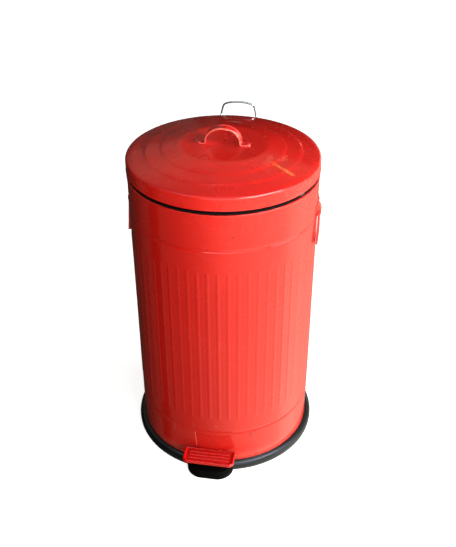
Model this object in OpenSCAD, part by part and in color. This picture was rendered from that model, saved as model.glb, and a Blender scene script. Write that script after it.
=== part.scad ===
// Pedal trash can: ribbed round steel can with a stepped lid, a front pedal,
// a lift rod inside the back wall, a removable inner bucket and two drop handles.
// Frame: +Z up, origin on the can's axis at the floor, pedal towards -Y, hinge towards +Y.

/* [Can body] */
// Outside radius of the plain bands of the can
can_r = 149.4; // [149.2:0.1:149.6]
// Sheet thickness of the can and lid
sheet = 0.8; // [0.7:0.05:1.0]
// Number of upright ribs round the can
rib_count = 60; // [40:2:72]
// Height of a rib above the plain bands
rib_h = 0.5; // [0.4:0.05:0.9]
// Width of a rib
rib_w = 7.2; // [5:0.2:8]
// Height of the lower end of the ribs
rib_z0 = 108; // [100:1:120]
// Height of the upper end of the ribs
rib_z1 = 401; // [390:1:410]
// Depth of the two rolled grooves
groove_depth = 1.3; // [0.8:0.1:1.4]

/* [Lid] */
// Height of the lower edge of the lid's skirt
lid_z = 505; // [504.5:0.1:506]
// Outside radius of the lid's skirt
lid_r = 150.3; // [149.9:0.1:150.5]
// Radius of the flat middle of the lid
plateau_r = 69; // [64:0.5:72]
// Inside radius of the arched lid handle
arch_r = 25.5; // [24:0.5:28]
// Width of the lid handle's strap
strap_w = 15; // [12:0.5:18]

/* [Base and pedal] */
// Outside radius of the black base ring
ring_r = 159.5; // [157:0.5:161]
// Height of the ledge of the base ring
ring_h = 14; // [12:0.5:14.5]
// Corner radius of the anti-tip foot under the pedal
foot_r = 28; // [24:0.5:32]
// Width of the pedal tread
tread_w = 88; // [70:1:94]
// Front-to-back depth of the pedal tread
tread_d = 33; // [32:0.5:34]

/* [Bucket] */
// Outside radius of the bucket under its rim
bucket_r = 139.4; // [136:0.2:139.6]
// Wall thickness of the bucket
bucket_t = 1.8; // [1.4:0.1:2.4]

/* [Handles] */
// Diameter of the rear wire bail
wire_d = 3.4; // [3:0.1:3.6]
// Width of a side handle at its bottom
drop_w = 48; // [44:1:54]

/* [Hidden] */
$fn = 64;
FR = 180;                       // facets of the big round shells
e = 0.01;
hy = 157; hz = 503;             // lid hinge axis
ay = -30.5; az = 32.5;          // pedal axle axis
ry = 143.5; rx = 17;            // lift rod: distance behind the axis, and sideways
rod_r = 2;
arm = hy - ry;                  // sideways distance from hinge to lift rod
open_deg = 75;
hook_z = hz - 1.1*arm*open_deg/2*PI/180;   // height of the rod's upper hook
u_in = arm - 0.2; u_out = 1.235*arm;       // reach of the hook in the lug's slot
foot_x = 12; foot_y = -154;                // centres of the foot's two corners
foot_p = [[foot_r - 3, 0], [foot_r, 0], [foot_r, 9], [foot_r - 1.2, 12], [foot_r - 4, ring_h], [0, ring_h], [0, 11], [foot_r - 3, 11]];
dp_y = can_r + 2.8; dp_z = 438;            // pivot of a side handle
drop_r = 1.4;                              // radius of its two pins, half its thickness
red = [0.86, 0.10, 0.07]; black = [0.07, 0.07, 0.08];
steel = [0.72, 0.72, 0.74]; chrome = [0.85, 0.86, 0.88];

// an upright rib with round ends, standing out from radius r by t, g narrower all round
module rib(r, t, g) {
  w = rib_w - 2*g;
  rotate([0, 90, 0]) translate([0, 0, r]) linear_extrude(t) {
    translate([-rib_z1 + rib_w/2, -w/2]) square([rib_z1 - rib_z0 - rib_w, w]);
    for (z = [rib_z0 + rib_w/2, rib_z1 - rib_w/2]) translate([-z, 0]) circle(r = w/2, $fn = 24);
  }
}
// outline of a shell of revolution: outside points, then the same points moved inwards
function skin(p, t) = concat(p, [for (i = [len(p)-1:-1:0]) p[i] - [t, 0]]);
function groove(z, r, g) = [for (a = [-90:22.5:90]) [r - g*(0.5 + 0.5*cos(2*a)), z + a/90*3.6]];

// a round wire along a list of points, as one swept solid
function unit(v) = v / norm(v);
function tan_at(p, i) = unit(p[min(i+1, len(p)-1)] - p[max(i-1, 0)]);
module wire(p, r, n, side) {
  m = len(p);
  pts = [for (i = [0:m-1]) let (t = tan_at(p, i), u = unit(cross(t, side)), v = cross(t, u))
    each [for (k = [0:n-1]) p[i] + r*(cos(360*k/n)*u + sin(360*k/n)*v)]];
  faces = concat([[for (k = [0:n-1]) k]], [[for (k = [n-1:-1:0]) (m-1)*n + k]],
    [for (i = [0:m-2]) for (k = [0:n-1]) each [[i*n+k, (i+1)*n+k, (i+1)*n+(k+1)%n], [i*n+k, (i+1)*n+(k+1)%n, i*n+(k+1)%n]]]);
  polyhedron(points = pts, faces = faces, convexity = 6);
}
// a rivet with a domed head; axis along +Z, head above z = 0, shank below
module rivet(r, len) {
  rotate_extrude($fn = 32) polygon(concat([[0, -len], [r*0.5, -len], [r*0.5, 0], [r, 0]],
    [for (a = [15:15:75]) [r*cos(a), 0.55*r*sin(a)]], [[0, 0.55*r]]));
}
// puts its children on the can's wall: azimuth a (0 = +X), height z, +Z of the child outwards
module on_wall(a, z, r) { rotate([0, 0, a]) translate([r, 0, z]) rotate([0, 90, 0]) children(); }

module body_shell() color(red) difference() {
  union() {
    rotate_extrude($fn = FR) polygon(skin(concat([[can_r, 6]], groove(77.5, can_r, groove_depth),
      groove(438, can_r, groove_depth), [[can_r, 496]]), sheet));
    for (k = [0:rib_count-1]) rotate([0, 0, -90 + k*360/rib_count]) rib(can_r - sheet/2, rib_h + sheet/2, 0);
    rotate_extrude($fn = FR) translate([can_r - 0.8, 496.9]) circle(r = 1.6, $fn = 24);
  }
  for (k = [0:rib_count-1]) rotate([0, 0, -90 + k*360/rib_count]) rib(can_r - sheet - 1, rib_h + 1, sheet);
  // slot for the pedal lever at the front, notch for the lid's lug at the back
  translate([-18, -can_r - 5, 19]) cube([36, 12, 19.5]);
  translate([-4, can_r - 8, 485]) cube([8, 16, 20]);
  // rivet holes of the hinge bracket
  for (a = [84.5, 95.5]) for (z = [468, 479]) on_wall(a, z, can_r - 4) cylinder(r = 1.7, h = 8);
  for (s = [0, 180]) for (a = [-6.2, 6.2]) on_wall(s + a, 450, can_r - 4) cylinder(r = 1.3, h = 8);
}

module floor_plate() color(steel) difference() {
  rotate_extrude($fn = FR) polygon([[0, 68], [can_r - sheet - 1.2, 68], [can_r - sheet - 1.2, 58],
    [can_r - sheet, 58], [can_r - sheet, 69.2], [104, 69.2], [100, 71], [64, 71], [60, 69.2], [0, 69.2]]);
  rotate_extrude($fn = 96) polygon([[64, 67], [100, 67], [100, 69.8], [64, 69.8]]);
  translate([rx, ry, 60]) cylinder(r = rod_r + 1, h = 20);
  for (x = [-9, 9]) for (y = [-10, 10]) translate([x, ay + y, 60]) cylinder(r = 1.6, h = 20);
}

module base_ring() color(black) difference() {
  union() {
    rotate_extrude($fn = FR) polygon([[ring_r - 3, 0], [ring_r, 0], [ring_r + 0.3, 5], [ring_r - 0.6, 10],
      [ring_r - 2.2, 13], [ring_r - 4.5, ring_h], [can_r + 0.2, ring_h], [can_r + 0.2, 6],
      [can_r - sheet - 0.1, 6], [can_r - sheet - 0.1, 20], [can_r - sheet - 2.6, 20], [can_r - sheet - 2.6, 3],
      [can_r + 3.2, 3], [can_r + 3.2, 11], [ring_r - 3, 11]]);
    // anti-tip foot in front, under the pedal
    difference() {
      union() {
        for (s = [-1, 1]) translate([s*foot_x, foot_y, 0]) rotate_extrude() polygon(foot_p);
        translate([-foot_x, foot_y, 0]) rotate([90, 0, 90]) linear_extrude(2*foot_x)
          polygon([for (q = foot_p) [-q[0], q[1]]]);
        translate([-foot_x, foot_y - 2, 11]) cube([2*foot_x, foot_r, ring_h - 11]);
      }
      translate([0, 0, -1]) cylinder(r = can_r + 2.0, h = 30, $fn = FR);
    }
  }
  // the foot is open into the ring from below
  translate([0, foot_y, -1]) intersection() {
    union() {
      for (s = [-1, 1]) translate([s*foot_x, 0, 0]) cylinder(r = foot_r - 3, h = 12);
      translate([-foot_x, -foot_r + 3, 0]) cube([2*foot_x, 2*foot_r - 6, 12]);
    }
    translate([-50, -24, 0]) cube([100, 45, 12]);
  }
}

module pedal_bracket() color(steel) difference() {
  union() {
    translate([-15.5, ay - 16, 66.4]) cube([31, 32, 1.6]);
    for (s = [-1, 1]) translate([s*14.7 - 0.8, 0, 0]) rotate([90, 0, 90]) linear_extrude(1.6)
      polygon([[ay - 16, 68], [ay - 16, 60], [ay - 7, az - 3], [ay - 4, az - 7], [ay + 4, az - 7],
        [ay + 7, az - 3], [ay + 16, 60], [ay + 16, 68]]);
  }
  translate([-20, ay, az]) rotate([0, 90, 0]) cylinder(r = 3, h = 40);
  for (x = [-9, 9]) for (y = [-10, 10]) translate([x, ay + y, 60]) cylinder(r = 1.6, h = 20);
}
module pedal_bracket_rivets() color(steel) for (x = [-9, 9]) for (y = [-10, 10])
  translate([x, ay + y, 0]) { translate([0, 0, 71.05 - 1.85]) rivet(3.2, 3.2 - e);
    translate([0, 0, 65]) cylinder(r = 2.6, h = 1.4); }
module pedal_axle() color(steel) translate([-19, ay, az]) rotate([0, 90, 0]) cylinder(r = 3, h = 38);
module pedal_axle_clips() color(steel) for (s = [-1, 1]) translate([s*16.4, ay, az]) rotate([0, s*90, 0])
  difference() { cylinder(r = 5.5, h = 1); translate([0, 0, -1]) cylinder(r = 3, h = 3); }

module rod_guide() color(steel) difference() {
  union() {
    intersection() {
      translate([rx - 9, 130, 407]) cube([18, 30, 22]);
      difference() { cylinder(r = can_r - sheet, h = 600, $fn = FR); translate([0, 0, -1]) cylinder(r = can_r - sheet - 1.4, h = 700, $fn = FR); }
    }
    intersection() {
      translate([rx - 9, 139.6, 407]) cube([18, 20, 1.6]);
      cylinder(r = can_r - sheet - 0.7, h = 600, $fn = FR);
    }
  }
  translate([rx, ry, 400]) cylinder(r = rod_r + 0.08, h = 20);
}
module hinge_bracket() color(red) difference() {
  union() {
    // plate bent to the wall
    intersection() {
      difference() { cylinder(r = can_r + 1.5, h = 600, $fn = FR); translate([0, 0, -1]) cylinder(r = can_r, h = 700, $fn = FR); }
      translate([-33, 100, 461]) cube([66, 80, 32.5]);
    }
    // arms up to the hinge knuckles
    for (s = [-1, 1]) translate([s*15.6 - 6.1, 0, 0]) rotate([90, 0, 90]) linear_extrude(12.2)
      polygon([[hy - 8.2, 484], [hy - 4.5, 484], [hy + 3.6, 498], [hy + 3.6, hz], [hy - 3.6, hz],
        [hy - 3.6, 499.3], [hy - 5.6, 493], [hy - 8.2, 493]]);
    for (s = [-1, 1]) translate([s*15.6 - 6.1, hy, hz]) rotate([0, 90, 0]) cylinder(r = 3.6, h = 12.2);
    // rolled clips that hold the feet of the rear bail
    for (s = [-1, 1]) translate([s*31.5, 150.6, 465]) cylinder(r = 3.1, h = 24);
  }
  translate([-40, hy, hz]) rotate([0, 90, 0]) cylinder(r = 2, h = 80);
  for (s = [-1, 1]) translate([s*31.5, 150.6, 460]) cylinder(r = wire_d/2, h = 40);
  for (a = [84.5, 95.5]) for (z = [468, 479]) on_wall(a, z, can_r - 4) cylinder(r = 1.7, h = 12);
  translate([0, 0, 400]) cylinder(r = can_r, h = 96, $fn = FR);
  translate([-4.5, 146, 487]) cube([9, 20, 14]);
}
module hinge_bracket_rivets() color(red) for (a = [84.5, 95.5]) for (z = [468, 479])
  on_wall(a, z, can_r + 1.5) { rivet(3.2, 3.2);
    translate([0, 0, -sheet - 1.5 - 1.36]) cylinder(r = 2.6, h = 1.3); }
module hinge_pin() color(steel) translate([-24, hy, hz]) rotate([0, 90, 0]) cylinder(r = 2, h = 48);
module hinge_pin_nuts() color(steel) for (s = [-1, 1]) translate([s*21.8, hy, hz]) rotate([0, s*90, 0])
  difference() { cylinder(r = 3.6, h = 1.2); translate([0, 0, -1]) cylinder(r = 2, h = 4); }

// rear bail: feet in the clips, back over the hinge, up and over in a flat arch
bail_half = [[31.5, 150.6, 466], [31.5, 150.6, 478], [31.5, 150.6, 489.5], [31.5, 152.4, 494], [31.5, 156, 497.6],
  [31.4, 163, 502.4], [31.1, 171, 507.3], [30.8, 177, 510.6], [30.3, 180, 513.6], [29.6, 181, 518], [28.3, 181.2, 524],
  [26.9, 181.2, 528.5], [24.6, 181.2, 531.8], [21, 181.2, 533.8], [14, 181.2, 535.7], [7, 181.2, 536.6]];
bail_shift = -3.5;
bail_pts = concat([for (q = bail_half) [min(1, (q[1]-150.6)/20)*bail_shift + q[0], q[1], q[2]]],
  [[bail_shift, 181.2, 536.9]],
  [for (i = [len(bail_half)-1:-1:0]) let (q = bail_half[i]) [min(1, (q[1]-150.6)/20)*bail_shift - q[0], q[1], q[2]]]);
module rear_bail() color(chrome) wire(bail_pts, wire_d/2 - 0.03, 12, [0, 1, 0.35]);

// side handles: bracket with a hump over the pivot, and a strap handle whose two pins sit in the hump
module side_bracket() {
  difference() {
    union() {
      intersection() {
        difference() { cylinder(r = can_r + 1.3, h = 600, $fn = FR); translate([0, 0, -1]) cylinder(r = can_r, h = 700, $fn = FR); }
        translate([100, -21, 444]) cube([80, 42, 11.5]);
      }
      translate([dp_y, -7.5, dp_z]) rotate([-90, 0, 0]) linear_extrude(15)
        polygon([[-5, -16.8], [-3, -15.6], [-1.1, -12.8], [0.7, -10], [2.2, -7], [3.1, -4.2], [3.4, -1], [3.3, 1.6], [2.7, 4], [1.5, 5.8], [-0.4, 6.7], [-5, 6.7]]);
    }
    translate([0, 0, 400]) cylinder(r = can_r, h = 80, $fn = FR);
    // channel for the handle's ends, open below
    translate([dp_y, -40, dp_z]) rotate([-90, 0, 0]) cylinder(r = drop_r + 0.4, h = 80);
    translate([dp_y - drop_r - 0.4, -40, dp_z - 12]) cube([2*drop_r + 0.8, 80, 12]);
    for (a = [-6.2, 6.2]) on_wall(a, 450, can_r - 4) cylinder(r = 1.3, h = 14);
  }
  // lips that keep the ends in the channel
  for (y = [-7.5, 4.5]) translate([dp_y - 2.1, y, dp_z - 4.8]) cube([4.4, 3, 2.6]);
}
module side_bracket_right() color(red) side_bracket();
module side_bracket_left() color(red) rotate([0, 0, 180]) side_bracket();
module side_bracket_rivets() color(red) for (s = [0, 180]) for (a = [-6.2, 6.2])
  on_wall(s + a, 450, can_r + 1.3) { rivet(2.5, 3.2); translate([0, 0, -sheet - 1.3 - 1.35]) cylinder(r = 2.2, h = 1.3); }

// half outline of a side handle [sideways, up from the pivot]: outer edge downwards, then inner edge upwards
dw = drop_w/2 + 0.45;
drop_outer = [[8.4, 2], [10.6, 2], [11.6, 1.3], [12, 0.2], [12.4, -6.2], [dw - 0.25, -45.6], [dw, -46.8], [dw - 0.25, -48.2],
  [dw - 1.05, -49.3], [dw - 2.3, -50], [18, -50.6], [8, -51]];
drop_inner = [[6, -44.9], [dw - 10.6, -44.4], [dw - 9.2, -43.8], [dw - 8.8, -42.6], [dw - 10, -38], [9.2, -20], [8.4, -8]];
function flip(p) = [for (i = [len(p)-1:-1:0]) [-p[i][0], p[i][1]]];
module drop_handle() {
  translate([dp_y - drop_r, 0, dp_z]) rotate([90, 0, 90]) linear_extrude(2*drop_r)
    polygon(concat(drop_outer, flip(drop_outer), flip(drop_inner), drop_inner));
  for (s = [0, 1]) mirror([0, s, 0]) translate([dp_y, 0.8, dp_z]) rotate([-90, 0, 0]) cylinder(r = drop_r, h = 10.2);
}
module side_handle_right() color(red) drop_handle();
module side_handle_left() color(red) rotate([0, 0, 180]) drop_handle();

module inner_bucket() color(black) difference() {
  rotate_extrude($fn = FR) polygon([[0, 73], [120, 73], [127, 75], [130.5, 79], [bucket_r, 490], [bucket_r, 498.7],
    [148.6, 498.7], [149, 499.6], [148.6, 500.8], [143, 500.8], [142, 503.4], [140.6, 504], [139.2, 503.4], [bucket_r - bucket_t, 498],
    [bucket_r - bucket_t, 490], [130.5 - bucket_t, 80], [126, 76.6], [119.5, 75], [0, 75]]);
  // room for the lid's lug and the lift rod at the back
  translate([-24, 125, 484.5]) cube([48, 35, 30]);
  // bores of the bucket handle
  translate([-200, 0, 491]) rotate([0, 90, 0]) cylinder(r = 2, h = 400);
}
bh_r = 132.5;
bh_pts = concat([[141.6, 0, 491], [137.4, 0, 491], [135.4, -0.7, 491], [133.6, -3.4, 491.1]],
  [for (a = [4:8:176]) [bh_r*cos(a) + 0, -bh_r*sin(a), 491.2 + 0.5*sin(a)]],
  [[-133.6, -3.4, 491.1], [-135.4, -0.7, 491], [-137.4, 0, 491], [-141.6, 0, 491]]);
module bucket_handle() color(steel) wire(bh_pts, 1.6, 10, [0, 0, 1]);

// lid profile, outside points from the skirt up to the middle
lid_out = concat([[lid_r - 0.4, lid_z], [lid_r, lid_z + 0.5], [lid_r, lid_z + 16.6]],
  [for (a = [0:15:75]) [lid_r - 4.5 + 4.5*cos(a), lid_z + 17 + 4.5*sin(a)]],
  [[140, 527.8], [126, 530.4], [122.4, 531.1], [119.8, 532.1], [116, 532.8], [99.5, 535.2], [96.9, 535.7], [94.4, 536.6],
   [91, 537.2], [plateau_r + 3.5, 539.9], [plateau_r, 540.3], [plateau_r - 4, 540.5], [0, 540.5]]);
module lid_shell() color(red) difference() {
  rotate_extrude($fn = FR) polygon(concat(lid_out, [[0, 540.5 - sheet], [plateau_r - 4, 540.5 - sheet], [plateau_r, 540.3 - sheet],
    [plateau_r + 3.5, 539.9 - sheet], [91, 537.2 - sheet], [94.4, 536.6 - sheet], [96.9, 535.7 - sheet], [99.5, 535.2 - sheet],
    [116, 532.8 - sheet], [119.8, 532.1 - sheet], [122.4, 531.1 - sheet], [126, 530.4 - sheet], [140, 527.8 - sheet], [145.8, 525.6],
    [lid_r - sheet - 1.2, 523.9], [lid_r - sheet, 521.6], [lid_r - sheet, lid_z]]));
  for (s = [-1, 1]) translate([s*37, 0, 530]) cylinder(r = 2, h = 20);
  for (a = [85, 95]) on_wall(a, 514.5, 140) cylinder(r = 1.5, h = 14);
}
// arched strap with rolled edges and a round-ended tab at each foot
module lid_handle() color(red) difference() {
  union() {
    translate([0, strap_w/2, 540.5]) rotate([90, 0, 0]) linear_extrude(strap_w) difference() {
      union() { intersection() { circle(r = arch_r + 1.8, $fn = 96); translate([-40, 2.2]) square([80, 40]); }
        for (s = [-1, 1]) translate([s > 0 ? 25 : -34, 0]) square([9, 1.8]);
        for (s = [-1, 1]) polygon([[s*(arch_r - 0.05), 2.2], [s*(arch_r + 1.75), 2.2], [s*(arch_r + 3.4), 1.2], [s*(arch_r + 4.5), 0], [s*(arch_r + 1.4), 0], [s*(arch_r + 0.4), 0.9]]); }
      circle(r = arch_r, $fn = 96);
    }
    for (s = [-1, 1]) for (y = [-1, 1]) translate([0, y*(strap_w/2 - 1), 540.5])
      rotate([90, 0, 0]) rotate([0, 0, 5]) rotate_extrude(angle = 170, $fn = 96) translate([arch_r + 1.7, 0]) circle(r = 1.05, $fn = 16);
    for (s = [-1, 1]) translate([s*35.5, 0, 540.5]) cylinder(r = strap_w/2 - 1, h = 1.8);
    for (s = [-1, 1]) translate([s > 0 ? 28 : -36, -strap_w/2 + 1, 540.5]) cube([8, strap_w - 2, 1.8]);
  }
  for (s = [-1, 1]) translate([s*37, 0, 530]) cylinder(r = 2, h = 20);
}
module lid_handle_rivets() color(red) for (s = [-1, 1]) translate([s*37, 0, 542.3]) { rivet(3.9, 1.8 + sheet + 0.3);
  translate([0, 0, -1.8 - sheet - 1.3]) cylinder(r = 3, h = 1.3); }

module lid_hinge_leaf() color(steel) difference() {
  union() {
    // plate inside the skirt
    intersection() {
      difference() { cylinder(r = lid_r - sheet, h = 600, $fn = FR); translate([0, 0, -1]) cylinder(r = lid_r - sheet - 1.5, h = 700, $fn = FR); }
      translate([-20, 100, 503.1]) cube([40, 80, 17.4]);
    }
    // tongue out under the skirt, knuckle, and lug down to the lift rod
    difference() {
      translate([-9.2, 145.4, 503.1]) cube([18.4, hy - 145.4, 1.6]);
      translate([0, 0, 500]) cylinder(r = 146.6, h = 10, $fn = FR);
    }
    translate([-9.2, hy, hz]) rotate([0, 90, 0]) cylinder(r = 3.6, h = 18.4);
    translate([-1, 0, 0]) rotate([90, 0, 90]) linear_extrude(2)
      polygon([for (q = [[0, 3.4], [-8, 4.35], [-u_out - 2.6, 4.35], [-u_out - 4.35, 2.6], [-u_out - 4.35, -2.6], [-u_out - 2.6, -4.35], [-8, -4.35], [0, -3.4]])
        [hy + q[0]*cos(open_deg/2) - q[1]*sin(open_deg/2), hz + q[0]*sin(open_deg/2) + q[1]*cos(open_deg/2)]]);
  }
  translate([-40, hy, hz]) rotate([0, 90, 0]) cylinder(r = 2.05, h = 80);
  // slot for the rod's hook, along the lug
  translate([-10, hy, hz]) rotate([open_deg/2, 0, 0]) {
    for (u = [u_in, u_out]) translate([0, -u, 0]) rotate([0, 90, 0]) cylinder(r = rod_r + 0.75, h = 20);
    translate([0, -u_out, -rod_r - 0.75]) cube([20, u_out - u_in, 2*rod_r + 1.5]);
  }
  for (a = [85, 95]) on_wall(a, 514.5, 140) cylinder(r = 1.5, h = 14);
}
module lid_leaf_rivets() color(red) for (a = [85, 95]) on_wall(a, 514.5, lid_r) {
  rivet(2.7, sheet + 2);
  translate([0, 0, -sheet - 1.5 - 1.36]) cylinder(r = 2.4, h = 1.3); }
module lid_buffers() color(black) for (a = [-150, -30, 52, 128]) rotate([0, 0, a]) intersection() {
  translate([143.6, -4.5, 501.1]) cube([10, 9, 14.9]);
  cylinder(r = lid_r - sheet, h = 600, $fn = FR);
}

module pedal_lever() color(steel) difference() {
  union() {
    translate([-12, -145, az - 4]) cube([24, 291, 8]);
    translate([-12, -180.6, az + 2.2]) cube([24, 57, 1.8]);
  }
  translate([-10.4, -146, az - 5]) cube([20.8, 300, 7.2]);
  translate([-20, ay, az]) rotate([0, 90, 0]) cylinder(r = 3.05, h = 40);
  for (y = [0.1, 1.3]) translate([-20, ry + y - 0.2, az]) rotate([0, 90, 0]) cylinder(r = rod_r + 0.3, h = 40);
  translate([-20, ry - 0.1, az - rod_r - 0.3]) cube([40, 1.2, 2*rod_r + 0.6]);
  }
tz = az + 4;                                // underside of the tread's plate
ty = -can_r - 0.9;                          // back edge of the tread
module tread_shape(g) {
  intersection() {
    translate([-tread_w/2 + g, ty - tread_d + g]) square([tread_w - 2*g, tread_d - (g > 0 ? g : 0) + (g > 0 ? -1.2 : 0)]);
    union() {
      translate([-tread_w/2, ty - tread_d + 9]) square([tread_w, 60]);
      translate([-tread_w/2 + 9, ty - tread_d]) square([tread_w - 18, 60]);
      for (s = [-1, 1]) translate([s*(tread_w/2 - 9), ty - tread_d + 9]) circle(r = 9 - g);
    }
  }
}
module pedal_tread() color(red) difference() {
  union() {
    translate([0, 0, tz - 2.4]) linear_extrude(4.6) tread_shape(0);
    translate([0, 0, tz - 1.8]) linear_extrude(5.0) tread_shape(0.7);
  }
  // hollow underneath, shallow tray on top with cross ridges left standing
  translate([0, 0, tz - 5]) linear_extrude(5.02) tread_shape(1.8);
  difference() {
    translate([0, 0, tz + 1.4]) linear_extrude(5) tread_shape(4.4);
    for (i = [0:2]) translate([-tread_w/2 + 10, ty - 8.6 - i*6.7, tz + 0.9]) rotate([0, 90, 0]) cylinder(r = 1.6, h = tread_w - 20, $fn = 24);
  }
  translate([-12.4, ty - 30.6, tz - 5]) cube([24.8, 60, 5.02]);
  }
module lift_rod() color(steel) union() {
  rb = 5;                                   // bend radius
  translate([rx, ry, az + rb]) cylinder(r = rod_r, h = hook_z - az - 2*rb, $fn = 32);
  translate([rx - rb, ry, az + rb]) rotate([90, 0, 0]) rotate([0, 0, -90]) rotate_extrude(angle = 90, $fn = 48) translate([rb, 0]) circle(r = rod_r, $fn = 32);
  translate([rx - rb, ry, hook_z - rb]) rotate([90, 0, 0]) rotate_extrude(angle = 90, $fn = 48) translate([rb, 0]) circle(r = rod_r, $fn = 32);
  translate([-17, ry, az]) rotate([0, 90, 0]) cylinder(r = rod_r, h = rx - rb + 17, $fn = 32);
  translate([-6, ry, hook_z]) rotate([0, 90, 0]) cylinder(r = rod_r, h = rx - rb + 6, $fn = 32);
}
module lift_rod_clips() color(steel) for (q = [[-14.2, az], [-3.6, hook_z]]) translate([q[0], ry, q[1]]) rotate([0, -90, 0])
  difference() { cylinder(r = 3.2, h = 1); translate([0, 0, -1]) cylinder(r = rod_r, h = 3); }

body_shell();
floor_plate();
base_ring();
pedal_bracket();
pedal_bracket_rivets();
pedal_axle();
pedal_axle_clips();
rod_guide();
hinge_bracket();
hinge_bracket_rivets();
hinge_pin();
hinge_pin_nuts();
rear_bail();
side_bracket_right();
side_bracket_left();
side_bracket_rivets();
inner_bucket();
bucket_handle();
lid_shell();
lid_handle();
lid_handle_rivets();
lid_hinge_leaf();
lid_leaf_rivets();
lid_buffers();
pedal_lever();
pedal_tread();
lift_rod();
lift_rod_clips();
side_handle_right();
side_handle_left();
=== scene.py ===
# Pedal trash can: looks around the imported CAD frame.
import math, random
import bpy, bmesh
import numpy as np
from mathutils import Vector, Matrix


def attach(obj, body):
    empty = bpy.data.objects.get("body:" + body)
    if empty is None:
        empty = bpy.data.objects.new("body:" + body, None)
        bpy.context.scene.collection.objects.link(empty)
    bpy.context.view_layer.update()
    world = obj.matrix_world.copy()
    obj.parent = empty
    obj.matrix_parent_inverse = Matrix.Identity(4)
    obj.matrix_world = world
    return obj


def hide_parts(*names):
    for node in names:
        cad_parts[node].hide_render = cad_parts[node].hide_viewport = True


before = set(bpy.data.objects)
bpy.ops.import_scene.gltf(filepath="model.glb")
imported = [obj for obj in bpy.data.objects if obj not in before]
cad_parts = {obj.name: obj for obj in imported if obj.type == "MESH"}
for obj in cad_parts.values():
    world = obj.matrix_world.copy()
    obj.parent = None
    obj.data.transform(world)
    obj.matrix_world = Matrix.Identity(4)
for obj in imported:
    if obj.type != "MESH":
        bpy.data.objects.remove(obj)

random.seed(7)
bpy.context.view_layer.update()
MM = 0.001
CAN_R, SHEET = 149.4, 0.8

# ------------------------------------------------------------------ materials
def nt(name):
    m = bpy.data.materials.new(name)
    m.use_nodes = True
    t = m.node_tree
    t.nodes.clear()
    out = t.nodes.new("ShaderNodeOutputMaterial")
    b = t.nodes.new("ShaderNodeBsdfPrincipled")
    t.links.new(b.outputs[0], out.inputs[0])
    return m, t, b


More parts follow.
